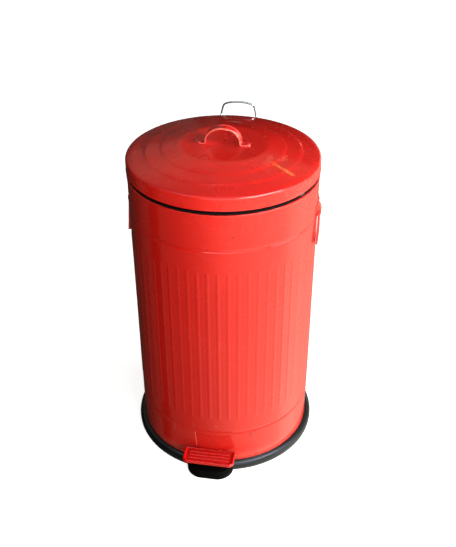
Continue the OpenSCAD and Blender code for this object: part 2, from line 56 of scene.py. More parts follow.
class G:
    """Small helper that adds nodes to a tree and returns output sockets."""

    def __init__(self, tree):
        self.t = tree

    def n(self, kind, **kw):
        x = self.t.nodes.new(kind)
        for k, v in kw.items():
            setattr(x, k, v)
        return x

    def link(self, a, b):
        self.t.links.new(a, b)

    def set(self, node, name, v):
        s = node.inputs[name]
        if isinstance(v, bpy.types.NodeSocket):
            self.link(v, s)
        else:
            s.default_value = v

    def coord(self):
        return self.n("ShaderNodeTexCoord").outputs["Object"]

    def mapping(self, vec, scale=(1, 1, 1), rot=(0, 0, 0), loc=(0, 0, 0)):
        m = self.n("ShaderNodeMapping")
        self.set(m, "Vector", vec)
        m.inputs["Scale"].default_value = scale
        m.inputs["Rotation"].default_value = rot
        m.inputs["Location"].default_value = loc
        return m.outputs[0]

    def noise(self, vec, scale, detail=3.0, rough=0.55, dist=0.0):
        x = self.n("ShaderNodeTexNoise")
        self.set(x, "Vector", vec)
        x.inputs["Scale"].default_value = scale
        x.inputs["Detail"].default_value = detail
        x.inputs["Roughness"].default_value = rough
        x.inputs["Distortion"].default_value = dist
        return x.outputs["Fac"]

    def voronoi(self, vec, scale, feature="F1", rand=1.0):
        x = self.n("ShaderNodeTexVoronoi", feature=feature)
        self.set(x, "Vector", vec)
        x.inputs["Scale"].default_value = scale
        x.inputs["Randomness"].default_value = rand
        return x.outputs["Distance"]

    def ramp(self, v, a, b, lo=0.0, hi=1.0, smooth=True):
        x = self.n("ShaderNodeMapRange")
        x.interpolation_type = "SMOOTHSTEP" if smooth else "LINEAR"
        x.clamp = True
        self.set(x, "Value", v)
        x.inputs["From Min"].default_value = a
        x.inputs["From Max"].default_value = b
        x.inputs["To Min"].default_value = lo
        x.inputs["To Max"].default_value = hi
        return x.outputs[0]

    def math(self, op, a, b=0.0, c=None):
        x = self.n("ShaderNodeMath", operation=op)
        for i, v in enumerate((a, b) if c is None else (a, b, c)):
            if isinstance(v, bpy.types.NodeSocket):
                self.link(v, x.inputs[i])
            else:
                x.inputs[i].default_value = v
        return x.outputs[0]

    def mix(self, fac, a, b):
        x = self.n("ShaderNodeMix", data_type="RGBA")
        for s, v in ((x.inputs[0], fac), (x.inputs[6], a), (x.inputs[7], b)):
            if isinstance(v, bpy.types.NodeSocket):
                self.link(v, s)
            else:
                s.default_value = v if not isinstance(v, tuple) else (*v, 1.0)[:4]
        return x.outputs[2]

    def sep(self, vec):
        x = self.n("ShaderNodeSeparateXYZ")
        self.link(vec, x.inputs[0])
        return x.outputs

    def near_segment(self, vec, p, q, r, soft):
        """1 within r of the segment p-q (metres), falling to 0 over soft."""
        p, q = Vector(p), Vector(q)
        d = q - p
        sub = self.n("ShaderNodeVectorMath", operation="SUBTRACT")
        self.link(vec, sub.inputs[0])
        sub.inputs[1].default_value = p
        dot = self.n("ShaderNodeVectorMath", operation="DOT_PRODUCT")
        self.link(sub.outputs[0], dot.inputs[0])
        dot.inputs[1].default_value = d / max(d.length_squared, 1e-12)
        tcl = self.ramp(dot.outputs["Value"], 0, 1, 0, 1, smooth=False)
        scl = self.n("ShaderNodeVectorMath", operation="SCALE")
        scl.inputs[0].default_value = d
        self.link(tcl, scl.inputs["Scale"])
        dist = self.n("ShaderNodeVectorMath", operation="DISTANCE")
        self.link(sub.outputs[0], dist.inputs[0])
        self.link(scl.outputs[0], dist.inputs[1])
        return self.ramp(dist.outputs["Value"], r, r + soft, 1.0, 0.0)

    def bump(self, height, strength, distance, normal=None):
        x = self.n("ShaderNodeBump")
        x.inputs["Strength"].default_value = strength
        x.inputs["Distance"].default_value = distance
        self.set(x, "Height", height)
        if normal is not None:
            self.link(normal, x.inputs["Normal"])
        return x.outputs[0]


RED = (0.78, 0.012, 0.008)
RED2 = (0.68, 0.009, 0.006)


def paint(name, kind):
    """Glossy red paint. kind: body, lid, part (small pressed pieces)."""
    m, t, b = nt(name)
    g = G(t)
    v = g.coord()
    # slow drift of colour, and a thin dusty film that is patchy
    pure = (0.74, 0.004, 0.003) if kind in ("part", "tread") else RED
    c = g.mix(g.ramp(g.noise(v, 5.0, 4), 0.35, 0.65, 0, 0.55), pure, RED2)
    film = g.math("MULTIPLY", g.ramp(g.noise(v, 16.0, 6, 0.65, 0.4), 0.42, 0.72), g.ramp(g.noise(v, 140.0, 3), 0.3, 0.8))
    c = g.mix(g.math("MULTIPLY", film, 0.008 if kind == "lid" else 0.016), c, (0.80, 0.33, 0.27))
    # fine handling scratches: stretched noise in several directions
    sc = None
    for i, (rot, sx) in enumerate([((0.2, 0.1, 0.4), 18), ((1.2, 0.5, 1.1), 30), ((0.5, 1.3, 2.2), 24)]):
        mp = g.mapping(v, scale=(sx * 22, sx * 0.9, sx * 22), rot=rot, loc=(i * 3.1, i * 1.7, 0))
        s = g.ramp(g.noise(mp, 1.0, 2, 0.5, 0.15), 0.715, 0.76)
        s = g.math("MULTIPLY", s, g.ramp(g.noise(v, 11.0 + 3 * i, 2), 0.52, 0.66))
        sc = s if sc is None else g.math("MAXIMUM", sc, s)
    c = g.mix(g.math("MULTIPLY", sc, 0.30), c, (0.92, 0.22, 0.17))
    # chips down to dark primer, few and small
    chip = g.math("MULTIPLY", g.ramp(g.voronoi(v, 95.0), 0.085, 0.05), g.ramp(g.noise(v, 26.0, 2), 0.66, 0.70))
    z = g.sep(v)[2]
    marks = []
    flat = g.mapping(v, scale=(1, 1, 0))
    if kind == "lid":
        # scuff of another paint on the right of the lid, and its two branches
        n1 = g.ramp(g.noise(g.mapping(v, scale=(420, 90, 200), rot=(0, 0, 0.6)), 1.0, 4, 0.7), 0.36, 0.60)
        # only on the outer face, not on the underside of the sheet
        outer = g.ramp(g.sep(t.nodes.new("ShaderNodeTexCoord").outputs["Normal"])[2], 0.1, 0.4)
        n1 = g.math("MULTIPLY", n1, outer)
        for p, q, r, s, a in SCUFFS:
            marks.append((g.math("MULTIPLY", g.near_segment(flat, p, q, r, s), n1), a))
    if kind == "body":
        # lighter pink low on the wall over the base ring: partly dust, partly a painted reflection that keeps the wall
        # light down to the ring
        rim = g.math("MULTIPLY", g.ramp(z, 0.036, 0.014), g.ramp(g.noise(v, 55.0, 5, 0.65), 0.25, 0.65, 0.5, 1.0))
        c = g.mix(g.math("MULTIPLY", rim, 0.26), c, (0.85, 0.27, 0.20))
        # lighter pink low on the front by the pedal: partly dust, partly painted sheen standing in for the coat
        # reflection that is thinned there below
        pedal_dust_and_sheen = g.math("MULTIPLY", g.math("MULTIPLY", g.ramp(g.math("ABSOLUTE", g.sep(v)[0]), 0.095, 0.035), g.ramp(g.sep(v)[1], 0.0, -0.05)), g.ramp(z, 0.090, 0.060))
        c = g.mix(g.math("MULTIPLY", g.math("MULTIPLY", pedal_dust_and_sheen, g.ramp(z, 0.036, 0.055)), 0.045), c, (0.85, 0.30, 0.22))
        for p, q, r, s, a in TICKS:
            marks.append((g.near_segment(v, p, q, r, s), a))
    if kind == "grip_sheen":
        # paint dulled and lightened by hands
        # painted sheen: the handles and brackets are lightened towards salmon all over, in random patches, standing in
        # for the light they reflect
        c = g.mix(g.ramp(g.noise(v, 75.0, 4, 0.6), 0.3, 0.7, 0.10, 0.24), c, (0.90, 0.34, 0.27))
    if kind == "strap":
        # painted highlight: lighter salmon along the rolled edges and round the tabs, in patches, standing in for the
        # light these edges catch
        ay = g.math("ABSOLUTE", g.sep(v)[1])
        ax = g.math("ABSOLUTE", g.sep(v)[0])
        painted_edge_highlight = g.math("MAXIMUM", g.ramp(ay, 0.0058, 0.0066), g.ramp(ax, 0.0400, 0.0418))
        painted_edge_highlight = g.math("MULTIPLY", painted_edge_highlight, g.ramp(g.noise(v, 170.0, 4, 0.6), 0.30, 0.60, 0.35, 0.85))
        c = g.mix(g.math("MULTIPLY", painted_edge_highlight, 0.42), c, (0.90, 0.36, 0.28))
    if kind == "tread":
        # painted shade: the tray between the ridges is darkened, in patches
        tray = g.math("MULTIPLY", g.ramp(z, 0.0388, 0.0380), g.ramp(g.sep(v)[1], -0.1800, -0.1785))
        tray = g.math("MULTIPLY", tray, g.ramp(g.math("ABSOLUTE", g.sep(v)[0]), 0.0403, 0.0392))
        c = g.mix(g.math("MULTIPLY", tray, g.ramp(g.noise(v, 90.0, 5, 0.65), 0.3, 0.7, 0.10, 0.30)), c, (0.26, 0.004, 0.003))
    for f, a in marks:
        col, amt = a
        c = g.mix(g.math("MULTIPLY", f, amt), c, col)
    c = g.mix(g.math("MULTIPLY", chip, 0.85), c, (0.045, 0.006, 0.005))
    g.link(c, b.inputs["Base Color"])
    # gloss with a little patchiness, duller on film and scratches
    r = g.ramp(g.noise(v, 9.0, 5, 0.6), 0.3, 0.7, 0.20, 0.30)
    r = g.math("ADD", r, g.math("MULTIPLY", film, 0.16))
    r = g.math("ADD", r, g.math("MULTIPLY", sc, 0.25))
    r = g.math("ADD", r, g.math("MULTIPLY", chip, 0.35))
    for f, a in marks:
        r = g.math("ADD", r, g.math("MULTIPLY", f, 0.2))
    g.link(g.math("MINIMUM", r, 0.9), b.inputs["Roughness"])
    b.inputs["Specular IOR Level"].default_value = 0.12
    if kind == "body":
        # the coat is scuffed where shoes reach the pedal
        near = g.math("MULTIPLY", g.ramp(g.math("ABSOLUTE", g.sep(v)[0]), 0.095, 0.035), g.ramp(g.sep(v)[1], 0.0, -0.05))
        near = g.math("MULTIPLY", near, g.ramp(z, 0.090, 0.045))
        g.link(g.math("SUBTRACT", 0.85, g.math("MULTIPLY", near, g.ramp(g.noise(v, 60.0, 4, 0.6), 0.25, 0.65, 0.40, 0.60))), b.inputs["Coat Weight"])
    else:
        b.inputs["Coat Weight"].default_value = 0.85
    b.inputs["Coat Roughness"].default_value = 0.05
    b.inputs["Coat IOR"].default_value = 1.48
    # orange peel, faint press waviness, scratches and chips in relief
    h1 = g.bump(g.noise(v, 620.0, 2, 0.5), 0.04 if kind == "lid" else 0.10, 0.00012)
    h2 = g.bump(g.noise(v, 26.0, 2, 0.5), 0.06 if kind == "lid" else 0.22, 0.00035, h1)
    h3 = g.bump(g.math("ADD", sc, chip), 0.35, -0.00008, h2)
    g.link(h3, b.inputs["Normal"])
    g.link(g.bump(g.noise(v, 30.0, 2, 0.5), 0.008 if kind == "lid" else 0.20, 0.0003), b.inputs["Coat Normal"])
    return m


def plastic(name, base, rough, grain=1400.0, film=0.10):
    m, t, b = nt(name)
    g = G(t)
    v = g.coord()
    c = g.mix(g.ramp(g.noise(v, 12.0, 4), 0.3, 0.7), tuple(x * 0.75 for x in base), tuple(x * 1.35 for x in base))
    dust = g.math("MULTIPLY", g.ramp(g.noise(v, 30.0, 6, 0.7, 0.5), 0.45, 0.75), g.ramp(g.noise(v, 420.0, 2), 0.35, 0.75))
    c = g.mix(g.math("MULTIPLY", dust, film), c, (0.25, 0.235, 0.22))
    mp = g.mapping(v, scale=(480, 26, 480), rot=(0.4, 0.2, 0.9))
    sc = g.math("MULTIPLY", g.ramp(g.noise(mp, 1.0, 2), 0.70, 0.76), g.ramp(g.noise(v, 14.0, 2), 0.5, 0.65))
    c = g.mix(g.math("MULTIPLY", sc, 0.5), c, (0.12, 0.12, 0.12))
    g.link(c, b.inputs["Base Color"])
    r = g.ramp(g.noise(v, 18.0, 5), 0.3, 0.7, rough - 0.07, rough + 0.08)
    g.link(g.math("MINIMUM", g.math("ADD", r, g.math("MULTIPLY", dust, 0.25)), 0.95), b.inputs["Roughness"])
    h = g.bump(g.noise(v, grain, 2, 0.6), 0.28, 0.00012)
    h = g.bump(sc, 0.4, -0.00006, h)
    g.link(h, b.inputs["Normal"])
    return m


def metal(name, base, r0, r1, kind):
    m, t, b = nt(name)
    g = G(t)
    v = g.coord()
    b.inputs["Metallic"].default_value = 1.0
    if kind == "zinc":
        cell = g.voronoi(v, 260.0)
        f = g.ramp(cell, 0.1, 0.7)
        c = g.mix(f, tuple(x * 0.82 for x in base), base)
        stain = g.ramp(g.noise(v, 22.0, 6, 0.65, 0.6), 0.52, 0.72)
        c = g.mix(g.math("MULTIPLY", stain, 0.45), c, (0.36, 0.34, 0.31))
        g.link(c, b.inputs["Base Color"])
        r = g.math("ADD", g.ramp(f, 0, 1, r0, r1), g.math("MULTIPLY", stain, 0.2))
        g.link(r, b.inputs["Roughness"])
        br = g.mapping(v, scale=(900, 40, 900))
        g.link(g.bump(g.noise(br, 1.0, 2), 0.12, 0.00008), b.inputs["Normal"])
    else:
        stain = g.ramp(g.noise(v, 60.0, 5, 0.65, 0.3), 0.55, 0.75)
        c = g.mix(g.math("MULTIPLY", stain, 0.35), base, (0.42, 0.40, 0.38))
        pit = g.ramp(g.voronoi(v, 420.0), 0.10, 0.04)
        pit = g.math("MULTIPLY", pit, g.ramp(g.noise(v, 90.0, 2), 0.58, 0.66))
        c = g.mix(pit, c, (0.12, 0.07, 0.04))
        g.link(c, b.inputs["Base Color"])
        g.link(g.math("ADD", g.ramp(g.noise(v, 80.0, 4), 0.3, 0.7, r0, r1), g.math("MULTIPLY", pit, 0.5)), b.inputs["Roughness"])
        g.link(g.bump(g.noise(v, 260.0, 3), 0.08, 0.00006), b.inputs["Normal"])
    return m


# marks, in metres in the object's frame: (p, q, radius, softness, (colour, amount))
SCUFFS = []
TICKS = []


def mark_tables():
    org = (1.0, 0.24, 0.04)
    pink = (1.0, 0.13, 0.085)
    pale = (1.0, 0.26, 0.20)
    dark = (0.05, 0.004, 0.004)
    SCUFFS.extend([
        ((0.0800, -0.0460, 0), (0.1105, -0.0670, 0), 0.0012, 0.0022, (org, 0.90)),
        ((0.0990, -0.0590, 0), (0.1135, -0.0670, 0), 0.0017, 0.0026, ((1.0, 0.22, 0.06), 0.85)),
        ((0.0947, -0.0292, 0), (0.0985, -0.0180, 0), 0.0008, 0.0030, (pink, 0.60)),
        ((0.0770, -0.0304, 0), (0.0735, -0.0540, 0), 0.0010, 0.0050, (pink, 0.45)),
        ((0.0899, -0.0350, 0), (0.1000, -0.0290, 0), 0.0008, 0.0030, (pink, 0.50)),
    ])
    TICKS.extend([
        ((0.0745, -0.1296, 0.0712), (0.0752, -0.1292, 0.0745), 0.0006, 0.0006, (dark, 0.85)),
        ((0.0641, -0.1350, 0.0702), (0.0682, -0.1330, 0.0712), 0.0007, 0.0006, (dark, 0.90)),
        ((0.0658, -0.1342, 0.0637), (0.0690, -0.1326, 0.0640), 0.0006, 0.0006, (dark, 0.85)),
        ((-0.0270, -0.1470, 0.0723), (-0.0243, -0.1475, 0.0430), 0.0004, 0.0007, (pale, 0.70)),
        ((-0.0641, -0.1351, 0.0831), (-0.0652, -0.1345, 0.0600), 0.0002, 0.0006, (pale, 0.35)),
        ((0.0375, -0.1447, 0.4620), (0.0375, -0.1447, 0.4626), 0.0011, 0.0006, (dark, 0.95)),
        ((-0.0300, -0.1465, 0.0955), (-0.0288, -0.1468, 0.0780), 0.0002, 0.0005, (pale, 0.25)),
        ((0.0100, -0.1492, 0.0950), (0.0103, -0.1492, 0.0885), 0.0002, 0.0005, (pale, 0.40)),
        ((0.0480, -0.1416, 0.0780), (0.0520, -0.1402, 0.0785), 0.0003, 0.0008, (pale, 0.40)),
    ])


mark_tables()

# ------------------------------------------------------------------ mesh tools
def obj_from(name, verts, faces, mat, smooth=True, angle=None):
    me = bpy.data.meshes.new(name)
    me.from_pydata([tuple(v) for v in verts], [], [tuple(f) for f in faces])
    me.validate()
    o = bpy.data.objects.new(name, me)
    bpy.context.scene.collection.objects.link(o)
    me.materials.append(mat)
    bm = bmesh.new()
    bm.from_mesh(me)
    bmesh.ops.recalc_face_normals(bm, faces=bm.faces)
    bm.to_mesh(me)
    bm.free()
    me.polygons.foreach_set("use_smooth", [smooth] * len(me.polygons))
    if angle is not None:
        me.set_sharp_from_angle(angle=math.radians(angle))
    me.update()
    return o


def fillet(pts, n=4, guard=0.25):
    """pts: (r, z, radius). Rounds the corners of a polyline; guard adds close support points."""
    out = []
    m = len(pts)
    for i, (x, y, rad) in enumerate(pts):
        if rad <= 0 or i in (0, m - 1):
            out.append((x, y))
            continue
        p = Vector((x, y))
        a = Vector(pts[i - 1][:2]) - p
        b = Vector(pts[i + 1][:2]) - p
        la, lb = a.length, b.length
        a.normalize(); b.normalize()
        ang = a.angle(b)
        if ang > math.radians(179.2):
            out.append((x, y))
            continue
        d = min(rad / math.tan(ang / 2), 0.46 * la, 0.46 * lb)
        rr = d * math.tan(ang / 2)
        c = p + (a + b).normalized() * (rr / math.sin(ang / 2))
        s, e = p + a * d, p + b * d
        if guard and d + guard < 0.48 * la:
            out.append(tuple(p + a * (d + guard)))
        a0 = math.atan2(s.y - c.y, s.x - c.x)
        a1 = math.atan2(e.y - c.y, e.x - c.x)
        while a1 - a0 > math.pi: a1 -= 2 * math.pi
        while a1 - a0 < -math.pi: a1 += 2 * math.pi
        for k in range(n + 1):
            t = a0 + (a1 - a0) * k / n
            out.append((c.x + rr * math.cos(t), c.y + rr * math.sin(t)))
        if guard and d + guard < 0.48 * lb:
            out.append(tuple(p + b * (d + guard)))
    return out


def lathe(profile, azs, radial=None, cut_top=None, windows=()):
    """Closed profile [(r, z)] turned round +Z at the azimuths azs (radians). Points at r = 0 become a pole.
    radial(j, r, z, az) -> new (r, z). cut_top: (az0, az1, ja, jb) drops the profile points ja..jb there.
    windows: (az0, az1, jo0, jo1, ji0, ji1) opens a hole through the wall between those rows."""
    n, m = len(azs), len(profile)
    verts, idx = [], {}
    for j, (r, z) in enumerate(profile):
        if r <= 1e-6:
            verts.append((0, 0, z * MM))
            for i in range(n):
                idx[i, j] = len(verts) - 1
            continue
        for i, a in enumerate(azs):
            r2, z2 = radial(j, r, z, a) if radial else (r, z)
            idx[i, j] = len(verts)
            verts.append((r2 * MM * math.cos(a), r2 * MM * math.sin(a), z2 * MM))
    gone = set()
    extra = []

    def cols(a0, a1):
        return [i for i in range(n) if a0 - 1e-4 <= azs[i] and azs[(i + 1) % n if i < n - 1 else i] <= a1 + 1e-4 and azs[i] < a1 - 1e-4]

    if cut_top:
        a0, a1, ja, jb = cut_top
        ci = cols(a0, a1)
        for i in ci:
            for j in range(ja, jb):
                gone.add((i, j))
            i2 = (i + 1) % n
            extra.append((idx[i, ja], idx[i2, ja], idx[i2, jb], idx[i, jb]))
        for i in (ci[0], (ci[-1] + 1) % n):
            extra.append([idx[i, j] for j in range(ja, jb + 1)])
    for a0, a1, o0, o1, i0, i1 in windows:
        ci = cols(a0, a1)
        for i in ci:
            for j in range(o0, o1):
                gone.add((i, j))
            for j in range(i0, i1):
                gone.add((i, j))
            i2 = (i + 1) % n
            extra.append((idx[i, o0], idx[i2, o0], idx[i2, i1], idx[i, i1]))
            extra.append((idx[i, o1], idx[i2, o1], idx[i2, i0], idx[i, i0]))
        for i in (ci[0], (ci[-1] + 1) % n):
            extra.append([idx[i, j] for j in range(o0, o1 + 1)] + [idx[i, j] for j in range(i0, i1 + 1)])
    faces = []
    for j in range(m):
        j2 = (j + 1) % m
        for i in range(n):
            if (i, j) in gone:
                continue
            i2 = (i + 1) % n
            f = [idx[i, j], idx[i2, j], idx[i2, j2], idx[i, j2]]
            g = []
            for q in f:
                if not g or g[-1] != q:
                    g.append(q)
            if g[0] == g[-1]:
                g.pop()
            if len(g) > 2:
                faces.append(g)
    used = sorted({q for f in faces + extra for q in f})
    re = {q: k for k, q in enumerate(used)}
    return [verts[q] for q in used], [[re[q] for q in f] for f in faces + extra]


def even(n, start=-math.pi):
    return [start + 2 * math.pi * i / n for i in range(n)]


def sweep(path, section, side=None, closed=False, caps=True, scale=None):
    """Sweeps section [(u, v)] (closed loop, mm) along path points (mm). side: preferred u direction."""
    P = [Vector(p) for p in path]
    m, k = len(P), len(section)
    verts, faces = [], []
    u_prev = None
    for i, p in enumerate(P):
        a = P[(i - 1) % m] if closed else P[max(i - 1, 0)]
        b = P[(i + 1) % m] if closed else P[min(i + 1, m - 1)]
        t = (b - a).normalized()
        if side is not None:
            s = Vector(side)
            u = (s - t * s.dot(t)).normalized()
        elif u_prev is None:
            s = Vector((0, 0, 1)) if abs(t.z) < 0.9 else Vector((0, 1, 0))
            u = (s - t * s.dot(t)).normalized()
        else:
            u = (u_prev - t * u_prev.dot(t)).normalized()
        u_prev = u
        w = t.cross(u)
        sc = scale(i) if scale else (1, 1)
        for (x, y) in section:
            verts.append((p + u * (x * sc[0]) + w * (y * sc[1])) * MM)
    seg = m if closed else m - 1
    for i in range(seg):
        for j in range(k):
            a, b = i * k + j, i * k + (j + 1) % k
            c, d = ((i + 1) % m) * k + (j + 1) % k, ((i + 1) % m) * k + j
            faces.append((a, b, c, d))
    if caps and not closed:
        faces.append([j for j in range(k)][::-1])
        faces.append([(m - 1) * k + j for j in range(k)])
    return verts, faces


def circle_pts(r, n, ph=0.0):
    return [(r * math.cos(2 * math.pi * i / n + ph), r * math.sin(2 * math.pi * i / n + ph)) for i in range(n)]


def spline(pts, step):
    """Catmull-Rom through pts, resampled about every step mm."""
    P = [Vector(p) for p in pts]
    P = [P[0] * 2 - P[1]] + P + [P[-1] * 2 - P[-2]]
    out = []
    for i in range(1, len(P) - 2):
        p0, p1, p2, p3 = P[i - 1], P[i], P[i + 1], P[i + 2]
        n = max(1, int(round((p2 - p1).length / step)))
        # centripetal knots
        t0 = 0.0
        t1 = t0 + math.sqrt(max((p1 - p0).length, 1e-6))
        t2 = t1 + math.sqrt(max((p2 - p1).length, 1e-6))
        t3 = t2 + math.sqrt(max((p3 - p2).length, 1e-6))
        for k in range(n):
            t = t1 + (t2 - t1) * k / n
            a1 = p0 * ((t1 - t) / (t1 - t0)) + p1 * ((t - t0) / (t1 - t0))
            a2 = p1 * ((t2 - t) / (t2 - t1)) + p2 * ((t - t1) / (t2 - t1))
            a3 = p2 * ((t3 - t) / (t3 - t2)) + p3 * ((t - t2) / (t3 - t2))
            b1 = a1 * ((t2 - t) / (t2 - t0)) + a2 * ((t - t0) / (t2 - t0))
            b2 = a2 * ((t3 - t) / (t3 - t1)) + a3 * ((t - t1) / (t3 - t1))
            out.append(b1 * ((t2 - t) / (t2 - t1)) + b2 * ((t - t1) / (t2 - t1)))
    out.append(P[-2])
    return out


def join(parts):
    """[(verts, faces)] -> one (verts, faces)."""
    V, F = [], []
    for v, f in parts:
        k = len(V)
        V += [tuple(q) for q in v]
        F += [[a + k for a in q] for q in f]
    return V, F


def moved(vf, mat):
    v, f = vf
    return [tuple(mat @ Vector(q)) for q in v], f


def rivet_mesh(r, h, seg=28, sink=0.4):
    """Domed rivet head on z = 0, axis +Z, mm scaled; slightly flattened crown and a crisp foot."""
    prof = [(0, -sink), (r * 0.98, -sink), (r, 0.0), (r * 0.985, h * 0.22)]
    for k in range(1, 7):
        a = math.radians(12 + 78 * k / 6)
        prof.append((r * 0.985 * math.cos(a) ** 0.85 if k < 6 else 0, h * (0.22 + 0.78 * math.sin(a))))
    return lathe(prof, even(seg))


def place(vf, loc, z_axis, spin=0.0):
    zq = Vector(z_axis).to_track_quat("Z", "Y")
    M = Matrix.Translation(Vector(loc) * MM) @ zq.to_matrix().to_4x4() @ Matrix.Rotation(spin, 4, "Z")
    return moved(vf, M)


def on_wall(az, z, r):
    a = math.radians(az)
    return (r * math.cos(a), r * math.sin(a), z), (math.cos(a), math.sin(a), 0)


def finish_piece(o, body, slot, *nodes):
    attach(o, body)
    if nodes:
        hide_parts(*nodes)
    return o


def bevel_copy(node, body, slot, mat, width=0.35, angle=32, segs=2):
    """A copy of a CAD node's mesh with its edges broken, as a piece that replaces it."""
    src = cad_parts[node].data
    bm = bmesh.new()
    bm.from_mesh(src)
    bmesh.ops.remove_doubles(bm, verts=bm.verts, dist=2e-6)
    bmesh.ops.dissolve_limit(bm, angle_limit=math.radians(0.6), verts=bm.verts, edges=bm.edges)
    bmesh.ops.dissolve_degenerate(bm, dist=2e-6, edges=bm.edges)
    me = bpy.data.meshes.new(node + "_finish")
    bm.to_mesh(me)
    bm.free()
    o = bpy.data.objects.new(node + "_finish", me)
    bpy.context.scene.collection.objects.link(o)
    me.materials.clear()
    me.materials.append(mat)
    md = o.modifiers.new("edges", "BEVEL")
    md.width = width * MM
    md.segments = segs
    md.limit_method = "ANGLE"
    md.angle_limit = math.radians(angle)
    md.miter_outer = "MITER_ARC"
    md.use_clamp_overlap = True
    dg = bpy.context.evaluated_depsgraph_get()
    new = bpy.data.meshes.new_from_object(o.evaluated_get(dg))
    o.modifiers.clear()
    o.data = new
    new.materials.clear()
    new.materials.append(mat)
    new.polygons.foreach_set("material_index", [0] * len(new.polygons))
    new.polygons.foreach_set("use_smooth", [True] * len(new.polygons))
    new.set_sharp_from_angle(angle=math.radians(38))
    new.update()
    return finish_piece(o, body, slot, node)


def sstep(a, b, x):
    t = min(1.0, max(0.0, (x - a) / (b - a)))
    return t * t * (3 - 2 * t)

# ------------------------------------------------------------------ finishes
P_BODY = paint("red_paint_can", "body")
P_LID = paint("red_paint_lid", "lid")
P_PART = paint("red_paint_part", "part")
P_TREAD = paint("red_paint_tread", "tread")
P_STRAP = paint("red_paint_strap", "strap")
P_GRIP_SHEEN = paint("red_paint_grip", "grip_sheen")
M_BLACK = plastic("black_moulding", (0.004, 0.0042, 0.0045), 0.30, 1400.0, 0.025)
pb = next(n for n in M_BLACK.node_tree.nodes if n.type == "BSDF_PRINCIPLED")
pb.inputs["Specular Tint"].default_value = (0.76, 0.84, 1.0, 1.0)
pb.inputs["Specular IOR Level"].default_value = 0.60
# painted shade: the foot gets a darker copy of the black moulding, as it sits in the tread's shadow
M_FOOT_SHADED = plastic("black_moulding_foot_shaded", (0.0025, 0.0024, 0.0024), 0.55, 1400.0, 0.008)
next(n for n in M_FOOT_SHADED.node_tree.nodes if n.type == "BSDF_PRINCIPLED").inputs["Specular IOR Level"].default_value = 0.03
# the bucket's black is tinted faintly red: painted reflection of the red body in the shaded gap under the lid
M_BUCKET = plastic("bucket_moulding", (0.009, 0.006, 0.006), 0.55, 900.0, 0.03)
next(n for n in M_BUCKET.node_tree.nodes if n.type == "BSDF_PRINCIPLED").inputs["Specular IOR Level"].default_value = 0.03
M_RUBBER = plastic("buffer_rubber", (0.022, 0.021, 0.020), 0.78, 700.0, 0.2)
M_CHROME = metal("chromed_wire", (0.44, 0.54, 0.58), 0.05, 0.16, "chrome")
M_ZINC = metal("zinc_plate", (0.60, 0.61, 0.62), 0.30, 0.46, "zinc")
# painted shade: a darker copy of the zinc for the lever, whose part seen behind the tread is in shade
M_LEVER_SHADED = metal("zinc_shaded_dark", (0.24, 0.24, 0.245), 0.44, 0.58, "zinc")
from mathutils import noise as mnoise


def wave(x, y, z, s=1.0):
    """Faint unevenness of pressed sheet, in mm."""
    return s * mnoise.noise(Vector((x * 0.011, y * 0.011, z * 0.009)) + Vector((3.1, 7.7, 1.3)))


# ------------------------------------------------------------------ can body
PITCH = 2 * math.pi / 60
OFF = [-7.822, -5.0, -4.1, -3.5, -2.9, -2.2, -1.1, 0, 1.1, 2.2, 2.9, 3.5, 4.1, 5.0]
RIB_H, Z0, Z1, RW = 0.36, 108.0, 401.0, 3.6


def rib_azs():
    out = []
    for k in range(60):
        c = -math.pi / 2 + k * PITCH
        for o in OFF:
            a = c + (o / CAN_R if o > -7 else -PITCH / 2)
            out.append((a + math.pi) % (2 * math.pi) - math.pi)
    return sorted(out)


def groove_rows(zc, g):
    rows = []
    for d in (-4.6, -3.7, -3.0, -2.3, -1.6, -0.8, 0, 0.8, 1.6, 2.3, 3.0, 3.7, 4.6):
        k = 0.0 if abs(d) >= 3.6 else 0.5 + 0.5 * math.cos(math.pi * d / 3.6)
        rows.append((CAN_R - g * k, zc + d))
    return rows


def rib_height(az, z):
    u = ((az + math.pi / 2 + PITCH / 2) % PITCH - PITCH / 2) * CAN_R
    dz = max(0.0, z - (Z1 - RW), (Z0 + RW) - z)
    d = math.hypot(u, dz)
    if d > 4.2:
        return 0.0
    return RIB_H * (1 - sstep(0.8, 3.7, d))


def body_radial(j, r, z, az):
    if 100 < z < 406:
        r += rib_height(az, z)
    x, y = CAN_R * math.cos(az), CAN_R * math.sin(az)
    k = sstep(8, 60, z) * (1 - sstep(470, 492, z))
    r += 0.16 * k * wave(x * 1.6, y * 1.6, z * 1.3)
    # lapped weld seam down the back
    if abs(az - math.radians(93)) < 1e-3 and z < 492:
        r += 0.22
    return r, z


